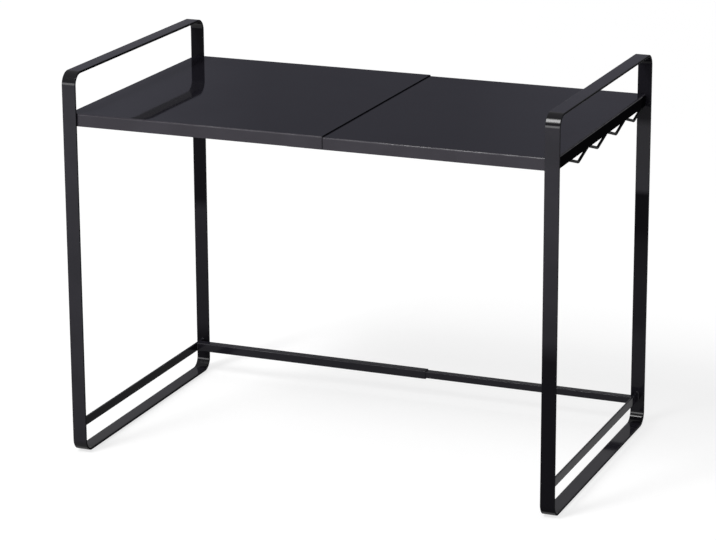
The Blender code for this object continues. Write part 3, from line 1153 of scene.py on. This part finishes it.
@dataclass
class Crossbar:
    """The telescopic crossbar's two square tubes and the welds at their ends."""

    finishes: Finishes
    wall: float = 0.0008
    outer_corner: float = 0.0012
    inner_corner: float = 0.0009
    corner_steps: int = 6
    # Painted shade on the tubes' sides
    tube_side_shade: float = 0.5
    weld: WeldBead = WeldBead(0.0008)
    weld_points: int = 20
    weld_sink: float = 0.0002

    def tube(self, node: str, body: Body, corner: float) -> None:
        """Make an open square tube along X.

        Args:
            node: The CAD node that it stands for.
            body: The body that carries it.
            corner: Its outer corner radius.
        """
        low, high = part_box(node)
        centre = (low + high) / 2
        size = high.z - low.z
        bore = size - 2 * self.wall
        outside = rounded_outline(size, size, corner, self.corner_steps)
        inside = rounded_outline(bore, bore, corner - self.wall / 2, self.corner_steps)
        ends = ((low.x, outside), (high.x, outside), (high.x, inside), (low.x, inside))
        rings = [
            [Vector((place, centre.y + point.x, centre.z + point.y)) for point in outline]
            for place, outline in ends
        ]
        mesh = skin(f"{node}_wall", rings, True, edge_marks(self.corner_steps, self.tube_side_shade))
        piece = add_piece(f"{node}_wall", mesh, self.finishes.bar, body, (node,))
        even_normals(piece)

    def end_welds(self, side: Side) -> None:
        """Lay upright beads in front of and behind a tube's end, against its rail.

        Args:
            side: The side that the tube is welded to.
        """
        node = "outer_tube" if side is Side.LEFT else "inner_tube"
        low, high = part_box(node)
        place = (low.x if side is Side.LEFT else high.x) - side.value * self.weld_sink
        foot = low.z + self.weld.radius
        span = high.z - low.z - 2 * self.weld.radius
        for word, depth in (("front", low.y), ("rear", high.y)):
            path = [
                Vector((place, depth, foot + span * step / (self.weld_points - 1)))
                for step in range(self.weld_points)
            ]
            name = f"{node}_{word}_weld"
            mesh = self.weld.mesh(name, path, False, TUBE_WELD_SEED + len(name))
            add_piece(name, mesh, self.finishes.bar, side.body)

    def build(self) -> None:
        """Build and dress both tubes and their welds."""
        self.tube("outer_tube", Body.LEFT, self.outer_corner)
        self.tube("inner_tube", Body.RIGHT, self.inner_corner)
        self.end_welds(Side.LEFT)
        self.end_welds(Side.RIGHT)


@dataclass
class HookWire:
    """The zigzag wire under the right apron, and the tacks that hold its upper bends."""

    finishes: Finishes
    radius: float = 0.00175
    bend_radius: float = 0.004
    tail: float = 0.002
    drop: float = 0.0107
    hooks: int = 4
    wire_sides: int = 16
    bend_steps: int = 9
    tack_radius: float = 0.0014
    tack_uneven: float = 0.05
    tack_stretch: Place = (0.75, 1.6, 1.0)
    tack_reach: float = 0.75

    def corners(self) -> list[Vector]:
        """Work out the zigzag's corners from the CAD wire's box.

        Returns:
            The corners from front to rear, with the two ends.
        """
        low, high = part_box("hook_wire")
        top = high.z - self.radius
        x = (low.x + high.x) / 2
        front = low.y + self.tail
        pitch = (high.y - low.y - 2 * self.tail) / self.hooks
        points = [Vector((x, low.y, top)), Vector((x, front, top))]
        for index in range(self.hooks):
            points.append(Vector((x, front + (index + 0.5) * pitch, top - self.drop)))
            points.append(Vector((x, front + (index + 1) * pitch, top)))
        points.append(Vector((x, high.y, top)))
        return points

    def path(self) -> list[Vector]:
        """Round the zigzag's corners.

        Returns:
            The points of the wire's middle line.
        """
        corners = self.corners()
        points = [corners[0]]
        for before, corner, after in zip(corners, corners[1:], corners[2:]):
            arriving = (corner - before).normalized()
            leaving = (after - corner).normalized()
            turn = arriving.angle(leaving)
            start = corner - arriving * self.bend_radius * math.tan(turn / 2)
            axis = arriving.cross(leaving).normalized()
            spoke = axis.cross(arriving).normalized() * -self.bend_radius
            centre = start - spoke
            for step in range(self.bend_steps + 1):
                swing = Matrix.Rotation(turn * step / self.bend_steps, 3, axis)
                points.append(centre + swing @ spoke)
        points.append(corners[-1])
        return points

    def wire(self) -> None:
        """Sweep the round wire along its path."""
        points = self.path()
        across = Vector((1, 0, 0))
        rings = []
        for index, point in enumerate(points):
            before = points[max(index - 1, 0)]
            after = points[min(index + 1, len(points) - 1)]
            up = across.cross((after - before).normalized()).normalized()
            rings.append([
                point + (across * right + up * rise) * self.radius
                for right, rise in circle(self.wire_sides)
            ])
        mesh = skin("hook_wire_rod", rings, False)
        add_piece(
            "hook_wire_rod", mesh, self.finishes.wire, Body.RIGHT, ("hook_wire",)
        )

    def tacks(self) -> None:
        """Set a small tack weld between the apron and each upper bend."""
        chance = random.Random(TACK_SEED)
        inset = self.radius * self.tack_reach
        for number, corner in enumerate(self.corners()[1::2], start=1):
            shape = bmesh.new()
            bmesh.ops.create_icosphere(shape, subdivisions=3, radius=self.tack_radius)
            for vert in shape.verts:
                vert.co *= 1 + chance.uniform(-self.tack_uneven, self.tack_uneven)
                vert.co *= Vector(self.tack_stretch)
            bmesh.ops.translate(shape, vec=corner + Vector((inset, 0, inset)), verts=shape.verts)
            name = f"hook_wire_tack_{number}"
            add_piece(name, to_mesh(name, shape), self.finishes.wire, Body.RIGHT)

    def build(self) -> None:
        """Build and dress the wire and its tacks."""
        self.wire()
        self.tacks()


@dataclass
class Hardware:
    """The small CAD parts that keep their shape: screws, spacers, pads, plug and stiffeners."""

    finishes: Finishes
    flange: float = 0.001
    flange_inset: float = 0.004
    spot_radius: float = 0.0025
    spot_height: float = 0.00012
    spot_sink: float = 0.00005
    spot_count: int = 6
    spot_sides: int = 24
    spot_profile: Shares = ((1.0, 0.0), (0.9, 1.0), (0.62, 1.0), (0.5, 0.35))

    def dress(self, nodes: dict[str, bpy.types.Object]) -> None:
        """Give each kept CAD node its finish.

        Args:
            nodes: The frame's nodes by name.
        """
        looks = {
            "_screw": self.finishes.screw,
            "_spacer": self.finishes.nylon,
            "_plug": self.finishes.nylon,
            "_pad": self.finishes.rubber,
            "_stiffener": self.finishes.sheet,
        }
        for name, node in nodes.items():
            for ending, material in looks.items():
                if name.endswith(ending):
                    node.data.materials.clear()
                    node.data.materials.append(material)
                    LOG.info("%s keeps its shape", name)

    def spot(self, shape: bmesh.types.BMesh, centre: Vector) -> None:
        """Press one ring-shaped spot weld mark.

        Args:
            shape: The bmesh of all marks.
            centre: The mark's middle, on the flange's lower face.
        """
        rings = []
        for reach, rise in self.spot_profile:
            depth = self.spot_sink - (self.spot_sink + self.spot_height) * rise
            radius = self.spot_radius * reach
            rings.append([
                shape.verts.new(centre + Vector((radius * across, radius * along, depth)))
                for across, along in circle(self.spot_sides)
            ])
        join_rings(shape, rings)
        shape.faces.new(rings[-1])
        shape.faces.new(rings[0])

    def spot_welds(self, stiffener: str) -> None:
        """Press a row of spot weld marks into each flange of a stiffener.

        Args:
            stiffener: The stiffener's node.
        """
        low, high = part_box(stiffener)
        shape = bmesh.new()
        for place in (low.x + self.flange_inset, high.x - self.flange_inset):
            for index in range(self.spot_count):
                depth = low.y + (high.y - low.y) * (index + 0.5) / self.spot_count
                self.spot(shape, Vector((place, depth, high.z - self.flange)))
        bmesh.ops.recalc_face_normals(shape, faces=shape.faces)
        name = f"{stiffener}_spot_welds"
        add_piece(name, to_mesh(name, shape), self.finishes.sheet, Body.RIGHT)

    def build(self, nodes: dict[str, bpy.types.Object]) -> None:
        """Dress the kept nodes and add the spot welds.

        Args:
            nodes: The frame's nodes by name.
        """
        self.dress(nodes)
        self.spot_welds("left_stiffener")
        self.spot_welds("right_stiffener")


# Studio


@dataclass(frozen=True)
class SoftBox:
    """A soft box that faces the rack, with its width along the rack's; its power is in watts."""

    name: str
    place: Place
    width: float
    height: float
    power: float
    aim: Place = (0.0, 0.0, 0.4)

    def hang(self) -> None:
        """Hang the lamp."""
        data = bpy.data.lights.new(self.name, 'AREA')
        data.shape = 'RECTANGLE'
        data.size, data.size_y = self.width, self.height
        data.energy = self.power
        lamp = bpy.data.objects.new(self.name, data)
        bpy.context.scene.collection.objects.link(lamp)
        back = (Vector(self.place) - Vector(self.aim)).normalized()
        tall = back.cross(Vector((1, 0, 0))).normalized()
        turned = Matrix((tall.cross(back), tall, back)).transposed().to_4x4()
        lamp.matrix_world = Matrix.Translation(self.place) @ turned


@dataclass
class Studio:
    """The pale floor, the soft light and the camera at the photograph's viewing angle."""

    camera_place: Place = (1.2610, -3.0876, 1.1994)
    yaw: float = 0.38909
    pitch: float = 0.27218
    roll: float = -0.00469
    focal_pixels: float = 2841.9
    image_width: float = 716.0
    shift_pixels: float = -40.0
    sensor: float = 36.0
    view_reach: float = 100.0
    floor_radius: float = 30.0
    floor_sides: int = 96
    floor_pale: Colour = (0.37, 0.37, 0.37)
    floor_grey: Colour = (0.35, 0.35, 0.35)
    floor_cloud: float = 0.6
    glow: float = 0.70
    far_glow: float = 0.08
    far_start: float = 1.0
    far_end: float = 5.0
    room: Stops = (
        (0.0, 0.93, 1.0), (0.14, 0.93, 1.0), (0.20, 0.23, 1.18), (0.28, 0.23, 1.18),
        (0.33, 0.46, 1.0), (0.50, 0.40, 1.0), (0.80, 0.5, 1.0), (1.0, 0.6, 1.0),
    )
    wall_start: float = -0.50
    wall_end: float = -0.25
    paler_wall: Stops = (
        (0.0, 0.0, 1.0), (0.10, 0.5, 1.0), (0.22, 0.5, 1.0), (0.40, 0.0, 1.0),
        (0.66, 0.0, 1.0), (0.82, 0.31, 1.0), (0.90, 0.31, 1.0), (1.0, 0.0, 1.0),
    )
    lamps: tuple[SoftBox, ...] = (
        SoftBox("tall_box", (-2.20, -3.8, 5.2), 1.6, 4.0, 150.0),
        SoftBox("tall_box_core", (-1.72, -3.75, 5.1), 0.9, 2.2, 120.0),
        SoftBox("low_strip", (-1.2, -6.0, 0.85), 7.2, 1.6, 225.0),
    )

    def camera(self) -> None:
        """Place the camera."""
        data = bpy.data.cameras.new("camera")
        data.sensor_width = self.sensor
        data.lens = self.focal_pixels / self.image_width * self.sensor
        data.shift_y = self.shift_pixels / self.image_width
        data.clip_end = self.view_reach
        camera = bpy.data.objects.new("camera", data)
        bpy.context.scene.collection.objects.link(camera)
        ahead = Vector((
            -math.sin(self.yaw) * math.cos(self.pitch),
            math.cos(self.yaw) * math.cos(self.pitch),
            -math.sin(self.pitch),
        ))
        level = Vector((math.cos(self.yaw), math.sin(self.yaw), 0))
        upright = level.cross(ahead)
        right = math.cos(self.roll) * level + math.sin(self.roll) * upright
        up = math.cos(self.roll) * upright - math.sin(self.roll) * level
        turned = Matrix((right, up, -ahead)).transposed().to_4x4()
        camera.matrix_world = Matrix.Translation(self.camera_place) @ turned
        bpy.context.scene.camera = camera

    def floor(self) -> None:
        """Lay the pale floor, which shows the rack's soft shadow."""
        shape = bmesh.new()
        bmesh.ops.create_circle(
            shape, cap_ends=True, radius=self.floor_radius, segments=self.floor_sides
        )
        floor = bpy.data.objects.new("floor", to_mesh("floor", shape))
        bpy.context.scene.collection.objects.link(floor)
        material = bpy.data.materials.new("pale_floor")
        floor.data.materials.append(material)
        tree = Tree(material)
        settings = {"operation": "LENGTH"}
        reach = tree.node("ShaderNodeVectorMath", settings, {0: tree.coordinates})
        far = tree.ramp(tree.out(reach, "Value"), self.far_start, self.far_end)
        light = self.seen_light(tree) * (self.glow + far * self.far_glow)
        tree.feed(
            Base_Color=tree.mix(
                tree.noise(self.floor_cloud, detail=3.0), self.floor_grey, self.floor_pale
            ),
            Roughness=0.9,
            Specular_IOR_Level=0.0,
            Emission_Color=tree.mix(light, (0.0, 0.0, 0.0), (1.0, 1.0, 1.0)),
            Emission_Strength=1.0,
        )

    def seen_light(self, tree: Tree) -> Sock:
        """Tell which rays see the floor as the background: camera, glossy, transmission.

        Args:
            tree: The floor's node tree.

        Returns:
            1 for such rays and 0 for others.
        """
        path = tree.node("ShaderNodeLightPath")
        camera = tree.out(path, "Is Camera Ray")
        glossy = tree.out(path, "Is Glossy Ray")
        through = tree.out(path, "Is Transmission Ray")
        return tree.math("MAXIMUM", tree.math("MAXIMUM", camera, glossy), through)

    def world(self) -> None:
        """Make the room: a pale sweep low down, a dim wall paler at two places, a soft ceiling."""
        world = bpy.data.worlds.new("studio")
        bpy.context.scene.world = world
        tree = Tree(world, "Background", "Generated")
        split = tree.node("ShaderNodeSeparateXYZ", None, {0: tree.coordinates})
        values = {
            "Value": tree.out(split, "X"), "From Min": self.wall_start, "From Max": self.wall_end,
        }
        aside = tree.out(tree.node("ShaderNodeMapRange", None, values))
        paler = self.greys(tree, self.paler_wall, aside)
        level = self.greys(tree, self.room, tree.out(split, "Z"))
        settings = {"operation": "MULTIPLY_ADD"}
        room = tree.node("ShaderNodeVectorMath", settings, {0: level, 1: paler, 2: level})
        tree.feed(Color=tree.out(room))

    def greys(self, tree: Tree, stops: Stops, place: Sock) -> Sock:
        """Read a ramp of greys at a place."""
        return tree.out(tree.node("ShaderNodeValToRGB", {"stops": stops}, {"Fac": place}))

    def build(self) -> None:
        """Set up the whole studio."""
        self.camera()
        self.floor()
        self.world()
        for lamp in self.lamps:
            lamp.hang()
        settings = bpy.context.scene.view_settings
        settings.view_transform = 'Standard'


def main() -> None:
    """Build the rack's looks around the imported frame."""
    logging.basicConfig(level=logging.INFO, format="%(message)s")
    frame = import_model()
    Studio().build()
    finishes = Finishes.make()
    # Each hoop has its own painted shade on its rail and legs
    SideHoop(
        Side.LEFT, finishes, rail_dull=0.8, front_dull=LEFT_FRONT_SHADE, rear_dull=LEFT_REAR_SHADE
    ).build()
    SideHoop(
        Side.RIGHT, finishes, rail_dull=0.2, front_dull=RIGHT_FRONT_SHADE, rear_dull=RIGHT_REAR_SHADE
    ).build()
    SheetTray("outer_tray", Body.LEFT, finishes, open_right=True, lipped=False).build()
    SheetTray("inner_tray", Body.RIGHT, finishes, open_right=False, lipped=True).build()
    Crossbar(finishes).build()
    HookWire(finishes).build()
    Hardware(finishes).build(frame["nodes"])


if __name__ == "__main__":
    main()
